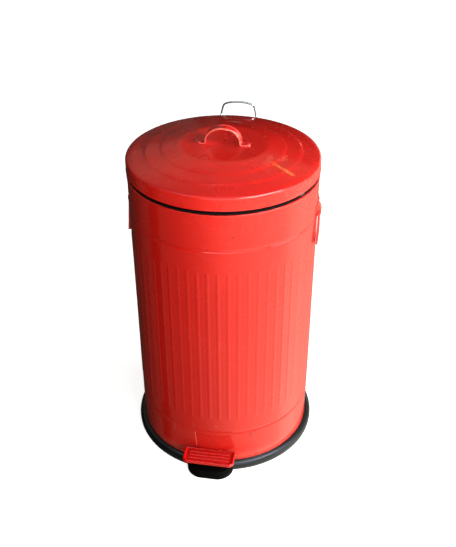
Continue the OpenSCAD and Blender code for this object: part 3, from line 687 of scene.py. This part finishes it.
def build_body():
    outer = [(149.0, 6.0), (149.4, 6.5), (149.4, 12), (149.4, 19), (149.4, 36.95), (149.4, 56), (149.4, 69)]
    outer += groove_rows(77.5, 1.15)
    outer += [(149.4, z) for z in (87, 97, 105, 107.0, 107.9, 108.6, 109.3, 110.2, 111.6, 114, 150, 200, 255, 310, 360,
                                   394.5, 397.4, 398.8, 399.7, 400.4, 401.1, 402.0, 404, 414, 427)]
    outer += groove_rows(438, 1.25)
    outer += [(149.4, z) for z in (449, 458, 467, 476, 485, 490, 493.6, 495.2)]
    curl = [(148.6 + 1.6 * math.cos(math.radians(a)), 496.9 + 1.6 * math.sin(math.radians(a))) for a in range(-58, 265, 23)]
    inner = [(148.6, z) for z in (495.2, 485, 455, 441.6)] + [(147.5, 438)] + [(148.6, z) for z in (434.4, 403, 400.6, 398, 394.5, 255, 114,
             111.0, 108.2, 106)] + [(148.6, 81)] + [(147.5, 77.5)] + [(148.6, z) for z in (74, 36.95, 19, 6.0)]
    prof = outer + curl + inner
    azs = rib_azs()
    zi = lambda lst, z, base: base + min(range(len(lst)), key=lambda i: abs(lst[i][1] - z))
    o19, o38 = zi(outer, 19, 0), zi(outer, 36.95, 0)
    i38, i19 = zi(inner, 36.95, len(outer) + len(curl)), zi(inner, 19, len(outer) + len(curl))
    o485, i485 = zi(outer, 485, 0), zi(inner, 485, len(outer) + len(curl))
    fa = 6 * math.pi / 180 + 2.2 / CAN_R
    vf = lathe(prof, azs, body_radial,
               cut_top=(math.pi / 2 - 4.15 / CAN_R, math.pi / 2 + 4.15 / CAN_R, o485, i485),
               windows=[(-math.pi / 2 - fa - 1e-3, -math.pi / 2 + fa + 1e-3, o19, o38, i38, i19)])
    o = obj_from("can_body", *vf, P_BODY, angle=50)
    return finish_piece(o, "can", "red_paint", "body_shell")


build_body()

# ------------------------------------------------------------------ lid
LID_TOP = [(150.3, 507.6, 0.4), (150.3, 521.9, 0), (149.8, 524.0, 0), (148.5, 525.7, 0), (146.9, 526.5, 0), (140, 527.8, 12), (126, 530.4, 6),
           (122.4, 531.1, 2.0), (119.8, 532.1, 2.0), (116, 532.8, 4), (99.5, 535.2, 4), (96.9, 535.7, 2.0), (94.4, 536.6, 2.0),
           (91, 537.2, 3), (72.5, 539.9, 3), (69.0, 540.3, 3), (65.0, 540.5, 2), (0, 540.5, 0)]


def fill_rows(pts, step):
    out = [pts[0]]
    for a, b in zip(pts, pts[1:]):
        d = math.hypot(b[0] - a[0], b[1] - a[1])
        n = max(1, int(d / step))
        for k in range(1, n + 1):
            out.append((a[0] + (b[0] - a[0]) * k / n, a[1] + (b[1] - a[1]) * k / n))
    return out


def lid_radial(j, r, z, az):
    x, y = r * math.cos(az), r * math.sin(az)
    k = 1 - sstep(138, 149, r)
    return r, z + 0.025 * k * wave(x * 2.0, y * 2.0, 40) - 0.02 * k


def build_lid():
    hem = [(149.7, 505.0), (150.25, 505.15), (150.6, 505.6), (150.72, 506.2), (150.6, 506.8), (150.36, 507.2)]
    crease = [(145.8 + 4.5 * math.cos(math.radians(a)), 522.0 + 4.5 * math.sin(math.radians(a))) for a in range(0, 76, 12)]
    top = [(150.3, 507.6, 0), (150.3, 514.5, 0), (150.3, 521.2, 0)] + [(p[0], p[1], 0) for p in crease] + [q for q in LID_TOP[5:]]
    up = fill_rows(fillet(top, 5, 0.3), 7.0)
    inner = [(0, 539.7), (40, 539.7), (65.0, 539.7), (69.0, 539.5), (72.5, 539.1), (91, 536.4), (94.4, 535.8), (96.9, 534.9), (99.5, 534.4),
             (116, 532.0), (119.8, 531.3), (122.4, 530.3), (126, 529.6), (139.8, 527.0), (145.6, 525.6), (147.6, 524.7), (148.9, 523.0), (149.4, 521.0),
             (149.4, 514), (149.4, 507.2), (148.9, 506.6), (148.75, 506.0), (149.0, 505.4)]
    vf = lathe(hem + up + inner[0:], even(288), lid_radial)
    o = obj_from("lid", *vf, P_LID, angle=55)
    return finish_piece(o, "lid", "red_paint", "lid_shell")


build_lid()


def strap_section():
    half = [(0, 1.8), (3.5, 1.8), (4.9, 1.86), (5.4, 2.15), (5.9, 2.55), (6.5, 2.72), (7.05, 2.55), (7.42, 2.1), (7.5, 1.5), (7.5, 0.5), (7.35, 0.12), (6.9, 0.0), (3.5, 0.0)]
    right = half
    left = [(-u, v) for (u, v) in half[::-1] if u > 0]
    return [(u, v) for (u, v) in right + [(0, 0.0)] + left]


def build_lid_handle():
    path = []
    zl, ra, rv, rb = 540.5, 25.5, 21.4, 4.0
    xs = [42.6, 42.3, 41.6, 40.4, 38.8, 36.5, 33.5, 31.0]
    tab = [(-x, zl) for x in xs]
    bend = [(-(ra + rb) + rb * math.sin(math.radians(a)), zl + rb - rb * math.cos(math.radians(a))) for a in range(0, 91, 15)]
    arch = [(-ra * math.cos(math.radians(a)), zl + rb + rv * math.sin(math.radians(a)) ** 0.97) for a in range(5, 176, 5)]
    pts = tab + bend + arch + [(-x, z) for x, z in bend[::-1]] + [(-x, z) for x, z in tab[::-1]]
    sec = strap_section()
    k = len(sec)
    P = [Vector((x, 0, z)) for x, z in pts]
    m = len(P)
    verts, faces = [], []
    for i, p in enumerate(P):
        t = (P[min(i + 1, m - 1)] - P[max(i - 1, 0)]).normalized()
        v = Vector((-t.z, 0, t.x))
        ax = abs(p.x)
        wu, wv = 1.0, 1.0
        if ax > 27:
            s = sstep(27, 32, ax)
            wu = 1 - 0.10 * s
            wv = 1 - 0.22 * s
        if ax > 36:
            wu *= math.sqrt(max(0.004, 1 - ((ax - 36) / 6.75) ** 2))
        for (a, b) in sec:
            verts.append((p + Vector((0, 1, 0)) * (a * wu) + v * (b * wv)) * MM)
    for i in range(m - 1):
        for j in range(k):
            faces.append((i * k + j, i * k + (j + 1) % k, (i + 1) * k + (j + 1) % k, (i + 1) * k + j))
    faces.append(list(range(k))[::-1])
    faces.append([(m - 1) * k + j for j in range(k)])
    o = obj_from("lid_handle_strap", verts, faces, P_STRAP, angle=60)
    finish_piece(o, "lid", "red_paint", "lid_handle")
    parts = [place(rivet_mesh(3.9, 2.05), (s * 37, 0, 541.95), (0, 0, 1)) for s in (-1, 1)]
    under = [place(lathe([(0, 0), (3.0, 0), (3.0, 0.9), (2.5, 1.3), (0, 1.3)], even(24)), (s * 37, 0, 539.65), (0, 0, -1)) for s in (-1, 1)]
    o = obj_from("lid_handle_rivet_heads", *join(parts + under), P_PART, angle=50)
    finish_piece(o, "lid", "red_paint", "lid_handle_rivets")


build_lid_handle()

# ------------------------------------------------------------------ rear bail
BH = [(31.5, 150.6, 466), (31.5, 150.6, 478), (31.5, 150.6, 489.5), (31.5, 152.4, 494), (31.5, 156, 497.6), (31.4, 163, 502.4),
      (31.1, 171, 507.3), (30.8, 177, 510.6), (30.3, 180, 513.6), (29.6, 181, 518), (28.3, 181.2, 524), (26.9, 181.2, 528.5),
      (24.6, 181.2, 531.8), (21, 181.2, 533.8), (14, 181.2, 535.7), (7, 181.2, 536.6)]
bs = -3.5
bail = [(min(1, (y - 150.6) / 20) * bs + x, y, z) for x, y, z in BH] + [(bs, 181.2, 536.9)] + \
       [(min(1, (y - 150.6) / 20) * bs - x, y, z) for x, y, z in BH[::-1]]
o = obj_from("rear_bail_wire", *sweep(spline(bail, 1.3), circle_pts(1.65, 16)), M_CHROME)
finish_piece(o, "can", "chrome", "rear_bail")

# ------------------------------------------------------------------ inner bucket and its handle
def build_bucket():
    prof = [(0, 73.0), (60, 73.0), (112, 73.0), (119, 73.1), (123.5, 73.8), (127.2, 75.4), (129.6, 78.0), (130.9, 82.0)]
    for z in (120, 200, 290, 380, 440, 462):
        prof.append((130.6 + (139.4 - 130.6) * (z - 79) / (490 - 79), z))
    prof += [(138.9, 467.0), (139.4, 468.2), (139.45, 470.0), (139.4, 484.5), (139.4, 495.5), (139.7, 497.8), (141.0, 498.7), (147.9, 498.7), (148.7, 498.95), (149.0, 499.6),
             (148.75, 500.4), (148.0, 500.8), (144.0, 500.85), (142.9, 501.4), (142.3, 502.8), (141.5, 503.7), (140.6, 504.0), (139.7, 503.7), (138.9, 502.6),
             (138.0, 499.0), (137.6, 494.0), (137.6, 484.5), (137.6, 470.0), (137.3, 466.0)]
    for z in (440, 380, 290, 200, 120, 88):
        prof.append((128.7 + (137.4 - 128.7) * (z - 80) / (490 - 80), z))
    prof += [(128.4, 81.5), (127.3, 78.4), (125.0, 76.4), (121.0, 75.2), (116.0, 75.0), (60, 75.0), (0, 75.0)]
    j0 = next(i for i, p in enumerate(prof) if p[1] == 484.5)
    j1 = next(i for i, p in enumerate(prof) if i > j0 + 3 and p[1] == 484.5)
    azs = sorted(set([round(a, 6) for a in even(240)] + [round(math.pi / 2 - 0.1727, 6), round(math.pi / 2 + 0.1727, 6)]))
    vf = lathe(prof, azs, None, cut_top=(math.pi / 2 - 0.1730, math.pi / 2 + 0.1730, j0, j1))
    o = obj_from("bucket", *vf, M_BUCKET, angle=48)
    finish_piece(o, "can", "bucket_plastic", "inner_bucket")
    bh = [(141.2, 0, 491), (137.4, 0, 491), (135.4, -0.7, 491), (133.6, -3.4, 491.1)] + \
         [(132.5 * math.cos(math.radians(a)), -132.5 * math.sin(math.radians(a)), 491.2 + 0.5 * math.sin(math.radians(a))) for a in range(4, 177, 4)] + \
         [(-133.6, -3.4, 491.1), (-135.4, -0.7, 491), (-137.4, 0, 491), (-141.2, 0, 491)]
    o = obj_from("bucket_handle_wire", *sweep([Vector(p) for p in bh], circle_pts(1.58, 12), side=(0, 0, 1)), M_CHROME)
    finish_piece(o, "can", "chrome", "bucket_handle")


build_bucket()

# ------------------------------------------------------------------ base ring with anti-tip foot
def build_base():
    ring = fillet([(156.5, 0.0, 0), (159.5, 0.0, 0.8), (159.70, 4.5, 3.0), (158.8, 8.8, 4.0), (156.4, 12.2, 4.0), (153.0, 13.8, 3.0),
                   (150.2, 14.05, 0.5), (149.62, 13.2, 0.3), (149.62, 6.0, 0)], 4, 0.0)
    ring += [(148.5, 6.0), (148.5, 20.0), (146.3, 20.0), (146.0, 19.0), (146.0, 3.0), (152.6, 3.0), (152.6, 11.0), (156.5, 11.0)]
    a = obj_from("base_moulding", *lathe(ring, even(300)), M_BLACK, angle=42)
    foot = fillet([(25.2, 0.0, 0), (28.0, 0.0, 0.7), (28.0, 8.6, 2.5), (26.6, 12.0, 2.2), (23.6, 13.9, 2.4), (0, 13.9, 0)], 4, 0.0) + [(0, 11.0), (25.2, 11.0)]
    b = obj_from("foot_tmp", *lathe(foot, even(120)), M_BLACK, angle=42)
    for v in b.data.vertices:      # two rounded corners with a straight front between them
        rr = math.hypot(v.co.x, v.co.y)
        if rr > 1e-6:
            v.co.x += 12.0 * MM * max(-1.0, min(1.0, 8.0 * v.co.x / rr))
    b.data.transform(Matrix.Translation((0, -154.0 * MM, 0)))
    c = obj_from("cut_tmp", *lathe([(0, -30), (157.6, -30), (157.6, 40), (0, 40)], even(300)), M_BLACK)
    for host, tool, op in ((b, c, "DIFFERENCE"), (a, b, "UNION")):
        md = host.modifiers.new("b", "BOOLEAN")
        md.operation = op
        md.solver = "EXACT"
        md.object = tool
        dg = bpy.context.evaluated_depsgraph_get()
        me = bpy.data.meshes.new_from_object(host.evaluated_get(dg))
        host.modifiers.clear()
        host.data = me
    for t in (b, c):
        bpy.data.objects.remove(t)
    a.data.polygons.foreach_set("use_smooth", [True] * len(a.data.polygons))
    a.data.set_sharp_from_angle(angle=math.radians(42))
    # foot faces take the darker copy, painted shade under the tread
    a.data.materials.append(M_FOOT_SHADED)
    for p in a.data.polygons:
        if p.center.y < -0.15 and math.hypot(p.center.x, p.center.y) > 0.1601:
            p.material_index = 1
    finish_piece(a, "can", "black_plastic", "base_ring")


build_base()

# ------------------------------------------------------------------ pedal tread
def build_tread():
    hw, d, r = 44.0, 33.0, 9.0
    y1 = -CAN_R - 0.9          # back edge
    y0 = y1 - d                # front edge
    zt = 36.5
    inset = 4.6
    nx, ny = 34, 84
    bi = 1.6                   # narrow rim at the back
    # inner panel rectangle (sharp corners), outer rounded outline
    ix0, ix1, iy0, iy1 = -hw + inset, hw - inset, y0 + inset, y1 - bi
    ring = []
    for i in range(nx): ring.append((i / nx, 0.0))
    for i in range(ny): ring.append((1.0, i / ny))
    for i in range(nx): ring.append((1 - i / nx, 1.0))
    for i in range(ny): ring.append((0.0, 1 - i / ny))

    def outline(g, rc):
        """Rounded front corners, near-square back corners, inset g."""
        x0, x1, a, b = -hw + g, hw - g, y0 + g, y1 - min(g, 0.9)
        out = []
        for (s, t) in ring:
            x, y = x0 + (x1 - x0) * s, a + (b - a) * t
            for sx, cx in ((-1, x0), (1, x1)):
                for sy, cy, rr in ((-1, a, rc), (1, b, 1.2)):
                    dx, dy = (x - cx) * -sx, (y - cy) * -sy
                    if dx < rr and dy < rr:
                        ux, uy = rr - dx, rr - dy
                        L = max(ux, uy) / max(1e-9, math.hypot(ux, uy))
                        ux, uy = ux * L, uy * L
                        x = cx - sx * (rr - ux)
                        y = cy - sy * (rr - uy)
            out.append((x, y))
        return out

    loops = []
    # underside of the lip, outside wall, rolled top, slope into the tray
    for g, z in ((2.3, zt + 0.2), (2.3, zt - 1.9), (1.9, zt - 2.35), (1.0, zt - 2.4), (0.35, zt - 2.1), (0.05, zt - 1.2), (0.0, zt + 0.6), (0.18, zt + 1.7),
                 (0.62, zt + 2.55), (1.3, zt + 3.05), (2.1, zt + 3.2), (2.9, zt + 3.0), (3.5, zt + 2.45), (3.95, zt + 1.85)):
        loops.append([(x, y, z) for x, y in outline(g, max(1.2, r - g))])
    edge = [(ix0 + (ix1 - ix0) * s, iy0 + (iy1 - iy0) * t) for s, t in ring]
    # last loop: the sharp-cornered inner edge of the tray, down at the floor
    loops.append([(x, y, zt + 1.45) for x, y in edge])
    verts = [q for L in loops for q in L]
    n = len(ring)
    faces = []
    for a in range(len(loops) - 1):
        for i in range(n):
            j = (i + 1) % n
            faces.append((a * n + i, a * n + j, (a + 1) * n + j, (a + 1) * n + i))
    # tray floor grid with cross ridges
    base = (len(loops) - 1) * n
    gid = {}
    for k, (s, t) in enumerate(ring):
        gid[(round(s * nx), round(t * ny))] = base + k

    def floor_z(x, y):
        z = zt + 1.4
        for i in range(3):
            yc = y1 - 8.6 - i * 6.7
            q = (y - yc) / 1.70
            if abs(q) < 1:
                ends = sstep(0, 2.5, hw - 9.5 - abs(x))
                z += 1.15 * (0.5 + 0.5 * math.cos(math.pi * q)) * ends
        return z

    # finer rows in y so that the ridges are round
    ysub = 4
    for i in range(nx + 1):
        for j in range(ny + 1):
            if (i, j) not in gid:
                x = ix0 + (ix1 - ix0) * i / nx
                y = iy0 + (iy1 - iy0) * j / ny
                gid[(i, j)] = len(verts)
                verts.append((x, y, floor_z(x, y)))
    for i in range(nx):
        for j in range(ny):
            faces.append((gid[i, j], gid[i + 1, j], gid[i + 1, j + 1], gid[i, j + 1]))
    # flat underside of the plate
    faces.append([i for i in range(n)][::-1])
    o = obj_from("tread", [(x * MM, y * MM, z * MM) for x, y, z in verts], faces, P_TREAD, angle=60)
    finish_piece(o, "pedal", "red_paint", "pedal_tread")


build_tread()

# ------------------------------------------------------------------ side brackets and drop handles
# side handles and brackets take the paint with painted sheen
bevel_copy("side_handle_right", "handle_right", "red_paint", P_GRIP_SHEEN, 0.6, 40, 3)
bevel_copy("side_handle_left", "handle_left", "red_paint", P_GRIP_SHEEN, 0.6, 40, 3)
bevel_copy("side_bracket_right", "can", "red_paint", P_GRIP_SHEEN, 0.35, 30, 2)
bevel_copy("side_bracket_left", "can", "red_paint", P_GRIP_SHEEN, 0.35, 30, 2)
parts = []
for s in (0, 180):
    for a in (-6.2, 6.2):
        loc, nrm = on_wall(s + a, 450.0, CAN_R + 1.3)
        parts.append(place(rivet_mesh(2.5, 1.35), loc, nrm))
        loc, nrm = on_wall(s + a, 450.0, CAN_R - SHEET)
        parts.append(place(lathe([(0, 0), (2.2, 0), (2.2, 0.8), (1.7, 1.3), (0, 1.3)], even(20)), loc, (-nrm[0], -nrm[1], 0)))
o = obj_from("side_bracket_rivet_heads", *join(parts), P_PART, angle=50)
finish_piece(o, "can", "red_paint", "side_bracket_rivets")

# ------------------------------------------------------------------ rear hinge
bevel_copy("hinge_bracket", "can", "red_paint", P_PART, 0.4, 32, 2)
parts = []
for a in (84.5, 95.5):
    for z in (468, 479):
        loc, nrm = on_wall(a, z, CAN_R + 1.45)
        parts.append(place(rivet_mesh(3.2, 1.75), loc, nrm))
        loc, nrm = on_wall(a, z, CAN_R - SHEET)
        parts.append(place(lathe([(0, 0), (2.6, 0), (2.6, 0.8), (2.1, 1.3), (0, 1.3)], even(20)), loc, (-nrm[0], -nrm[1], 0)))
o = obj_from("hinge_bracket_rivet_heads", *join(parts), P_PART, angle=50)
finish_piece(o, "can", "red_paint", "hinge_bracket_rivets")
parts = []
for a in (85, 95):
    loc, nrm = on_wall(a, 514.5, 150.25)
    parts.append(place(rivet_mesh(2.7, 1.5), loc, nrm))
    loc, nrm = on_wall(a, 514.5, 150.3 - SHEET - 1.5)
    parts.append(place(lathe([(0, 0), (2.4, 0), (2.4, 0.8), (1.9, 1.3), (0, 1.3)], even(20)), loc, (-nrm[0], -nrm[1], 0)))
o = obj_from("lid_leaf_rivet_heads", *join(parts), P_PART, angle=50)
finish_piece(o, "lid", "red_paint", "lid_leaf_rivets")
pin = lathe(fillet([(0, -24.0, 0), (2.0, -24.0, 0.5), (2.0, 24.0, 0.5), (0, 24.0, 0)], 3, 0.2), even(28))
o = obj_from("hinge_pin_rod", *place(pin, (0, 157, 503), (1, 0, 0)), M_ZINC, angle=50)
finish_piece(o, "can", "zinc", "hinge_pin")
nut = [(2.0, 0.25), (2.45, 0.0), (3.2, 0.0), (3.6, 0.35), (3.5, 0.8), (2.9, 1.15), (2.0, 1.25)]
o = obj_from("hinge_push_nuts", *join([place(lathe(nut, even(24)), (s * 21.8, 157, 503), (s, 0, 0)) for s in (-1, 1)]), M_ZINC, angle=50)
finish_piece(o, "can", "zinc", "hinge_pin_nuts")

# ------------------------------------------------------------------ hidden steel parts, with broken edges
for node, body, mat, w in (("lid_hinge_leaf", "lid", M_ZINC, 0.25), ("floor_plate", "can", M_ZINC, 0.3), ("pedal_bracket", "can", M_ZINC, 0.3),
                           ("pedal_bracket_rivets", "can", M_ZINC, 0.2), ("pedal_axle", "can", M_ZINC, 0.4), ("pedal_axle_clips", "can", M_ZINC, 0.2),
                           ("rod_guide", "can", M_ZINC, 0.25), ("pedal_lever", "pedal", M_LEVER_SHADED, 0.45), ("lift_rod", "lift_rod", M_ZINC, 0.3),
                           ("lift_rod_clips", "lift_rod", M_ZINC, 0.15)):
    bevel_copy(node, body, "zinc", mat, w, 34, 2)
bevel_copy("lid_buffers", "lid", "rubber", M_RUBBER, 0.8, 34, 3)

# ------------------------------------------------------------------ floor, light, camera
me = bpy.data.meshes.new("studio_floor")
me.from_pydata([(-7, -7, 0), (7, -7, 0), (7, 7, 0), (-7, 7, 0)], [], [(0, 1, 2, 3)])
floor = bpy.data.objects.new("studio_floor", me)
bpy.context.scene.collection.objects.link(floor)
fm, ft, fb = nt("studio_paper")
g = G(ft)
v = g.coord()
g.link(g.mix(g.ramp(g.noise(v, 2.0, 4), 0.3, 0.7), (0.86, 0.86, 0.865), (0.90, 0.90, 0.90)), fb.inputs["Base Color"])
fb.inputs["Roughness"].default_value = 0.9
fb.inputs["Specular IOR Level"].default_value = 0.1
fb.inputs["Emission Color"].default_value = (1.0, 1.0, 1.0, 1.0)
fb.inputs["Emission Strength"].default_value = 0.80
g.link(g.bump(g.noise(v, 300.0, 3), 0.05, 0.0003), fb.inputs["Normal"])
me.materials.append(fm)
floor.visible_glossy = False
floor.visible_diffuse = False
floor.visible_shadow = False

# pale backdrop, seen by the camera only
bm = bmesh.new()
bmesh.ops.create_uvsphere(bm, u_segments=48, v_segments=24, radius=6.8)
me = bpy.data.meshes.new("studio_backdrop")
bm.to_mesh(me)
bm.free()
me.polygons.foreach_set("use_smooth", [True] * len(me.polygons))
drop = bpy.data.objects.new("studio_backdrop", me)
bpy.context.scene.collection.objects.link(drop)
dm, dt, db = nt("studio_backdrop_paper")
g = G(dt)
db.inputs["Base Color"].default_value = (0.02, 0.02, 0.02, 1.0)
db.inputs["Roughness"].default_value = 1.0
db.inputs["Specular IOR Level"].default_value = 0.0
g.link(g.mix(g.ramp(g.noise(g.coord(), 0.4, 3), 0.3, 0.7), (0.90, 0.90, 0.905), (0.94, 0.94, 0.94)), db.inputs["Emission Color"])
db.inputs["Emission Strength"].default_value = 1.0
me.materials.append(dm)
drop.visible_glossy = False
drop.visible_diffuse = False
drop.visible_shadow = False
drop.visible_transmission = False

world = bpy.data.worlds.new("studio")
bpy.context.scene.world = world
world.use_nodes = True
wt = world.node_tree
wt.nodes.clear()
g = G(wt)
wo = wt.nodes.new("ShaderNodeOutputWorld")
bg = wt.nodes.new("ShaderNodeBackground")
wt.links.new(bg.outputs[0], wo.inputs[0])
d = wt.nodes.new("ShaderNodeTexCoord").outputs["Generated"]
sx, sy, sz = g.sep(d)
azf = g.math("ARCTAN2", sx, g.math("MULTIPLY", sy, -1.0))      # 0 to the front, + to the right
azr = g.math("ARCTAN2", sx, sy)                                # 0 to the back, + to the right
DEG = math.pi / 180


def ramp_nodes(val, stops):
    x = wt.nodes.new("ShaderNodeValToRGB")
    cr = x.color_ramp
    while len(cr.elements) > 1:
        cr.elements.remove(cr.elements[-1])
    first = True
    for p, c in stops:
        e = cr.elements[0] if first else cr.elements.new(p)
        e.position = p
        e.color = (*[q / 4.0 for q in (c if isinstance(c, tuple) else (c, c, c))], 1)
        first = False
    g.link(val, x.inputs[0])
    sc = wt.nodes.new("ShaderNodeVectorMath")
    sc.operation = "SCALE"
    wt.links.new(x.outputs[0], sc.inputs[0])
    sc.inputs["Scale"].default_value = 4.0
    return sc.outputs[0]


def F(deg):
    return 0.5 + deg / 360.0


low = ramp_nodes(g.math("ADD", g.math("MULTIPLY", azf, 1 / (2 * math.pi)), 0.5),
                 [(0.0, 0.06), (F(-150), 0.02), (F(-115), 0.02), (F(-100), 0.06), (F(-92), 0.07), (F(-89), 0.0), (F(-76), 0.0), (F(-72), 0.11), (F(-40), 0.15), (F(-19), 0.34),
                  (F(0), 0.64), (F(17), 1.02), (F(54), 1.46), (F(92), 1.48), (F(96), 1.78), (F(118), 1.35), (F(135), 0.75), (F(150), 0.5), (F(172), 0.25), (1.0, 0.06)])
back = ramp_nodes(g.math("ADD", g.math("MULTIPLY", azr, 1 / (2 * math.pi)), 0.5),
                  [(0.0, 0.15), (F(-150), 0.06), (F(-100), 0.04), (F(-60), 0.08), (F(-30), (0.20, 0.205, 0.225)), (F(-13.6), (0.23, 0.235, 0.255)), (F(-12.9), (0.20, 0.205, 0.22)),
                   (F(-12.6), 0.02), (F(-11.8), 0.02), (F(-11.5), (0.16, 0.16, 0.165)), (F(-10.6), (0.13, 0.13, 0.135)), (F(-10.2), 0.03), (F(-7), 0.03), (F(0), 0.05),
                   (F(30), 0.14), (F(70), 0.38), (F(100), 0.5), (F(140), 0.5), (F(160), 0.5), (1.0, 0.15)])
# low behind the can is dim; what the front of the lid mirrors, higher up, is lighter than what its middle mirrors
dim = g.ramp(sz, 0.30, 0.38, 0.35, 1.0)
sc_ = wt.nodes.new("ShaderNodeVectorMath")
sc_.operation = "SCALE"
g.link(back, sc_.inputs[0])
g.link(dim, sc_.inputs["Scale"])
back = sc_.outputs[0]
lift = g.ramp(sz, 0.47, 0.53)
back = g.mix(lift, back, (0.34, 0.335, 0.33))
up = g.ramp(sz, -0.03, 0.03)
mixw = g.mix(up, low, back)
warm = wt.nodes.new("ShaderNodeVectorMath")
warm.operation = "MULTIPLY"
g.link(mixw, warm.inputs[0])
warm.inputs[1].default_value = (1.0, 1.04, 0.80)
mixw = warm.outputs[0]
top = g.ramp(sz, 0.55, 0.8)
mixw = g.mix(top, mixw, (0.16, 0.16, 0.165))
g.link(mixw, bg.inputs["Color"])
bg.inputs["Strength"].default_value = 1.0


def area(name, loc, target, size, power, color=(1, 1, 1), spec=1.0):
    L = bpy.data.lights.new(name, "AREA")
    L.shape = "RECTANGLE"
    L.size, L.size_y = size
    L.energy = power
    L.color = color
    L.specular_factor = spec
    o = bpy.data.objects.new(name, L)
    bpy.context.scene.collection.objects.link(o)
    o.location = loc
    o.rotation_euler = (Vector(target) - Vector(loc)).to_track_quat("-Z", "Y").to_euler()
    return o


k = area("key_right", (2.1, 0.15, 0.66), (0, 0, 0.28), (1.5, 0.9), 62.0, (1.0, 0.985, 0.96))
k.visible_glossy = False
area("key_glint", (2.12, -0.30, 0.62), (0, 0, 0.28), (1.5, 0.9), 12.0, (1.0, 0.985, 0.95))
k = area("front_soft", (1.30, -2.0, 0.95), (0, 0, 0.30), (1.2, 0.6), 29.0, (1.0, 0.985, 0.94))
k.visible_glossy = False
# narrow raking strip over the lid, a soft spot on its front half, and two boxes seen only as reflections
k = area("lid_rake", (1.28, -2.22, 0.98), (0, 0, 0.625), (0.9, 0.06), 0.85, (1.0, 0.985, 0.96))
k.data.spread = math.radians(6.0)
k.visible_glossy = False
k = area("lid_front", (0.40, -1.35, 2.0), (-0.01, -0.13, 0.53), (0.25, 0.25), 0.035, (1.0, 0.985, 0.96))
k.data.spread = math.radians(10.0)
k.visible_glossy = False
k = area("lid_right", (1.85, -0.75, 1.02), (0.060, -0.070, 0.550), (0.20, 0.20), 0.165, (1.0, 0.985, 0.96))
k.data.spread = math.radians(10.0)
k.visible_glossy = False
k = area("front_panel", (0.9, -2.3, 1.35), (0, 0, 0.4), (3.6, 0.8), 30.0, (1.0, 0.98, 0.90))
k.visible_diffuse = False
k = area("side_panel", (0.92, 2.22, 0.66), (0, 0, 0.55), (1.0, 0.62), 3.6, (1.0, 0.99, 0.97))
k.visible_diffuse = False
k = area("overhead_box", (1.35, -0.80, 2.0), (0, 0, 0.5), (1.7, 0.55), 78.0, (1.0, 0.99, 0.98))
k.visible_diffuse = False
k = area("ceiling_glow", (0.2, -0.9, 2.7), (0.2, -0.9, 0.0), (3.4, 3.2), 32.0, (1.0, 1.0, 1.0))
k.visible_diffuse = False

cam_d = bpy.data.cameras.new("camera")
cam_d.sensor_width = 36.0
cam_d.lens = 790.208 * 36.0 / 547.0
cam_d.clip_start, cam_d.clip_end = 0.05, 60
cam = bpy.data.objects.new("camera", cam_d)
bpy.context.scene.collection.objects.link(cam)
A = 9.5 * DEG
cx, cy, cz = 0.043 * 0.15, -7.420 * 0.15, 6.940 * 0.15
cam.matrix_world = Matrix.Translation((cx * math.cos(A) - cy * math.sin(A), cx * math.sin(A) + cy * math.cos(A), cz)) @ \
    Matrix.Rotation(A, 4, "Z") @ Matrix.Rotation(math.pi / 2 - 33.559 * DEG, 4, "X") @ Matrix.Rotation(-0.251 * DEG, 4, "Z")
bpy.context.scene.camera = cam

sc = bpy.context.scene
sc.view_settings.view_transform = "Standard"
sc.view_settings.look = "None"
sc.view_settings.exposure = 0.0
sc.view_settings.gamma = 1.0
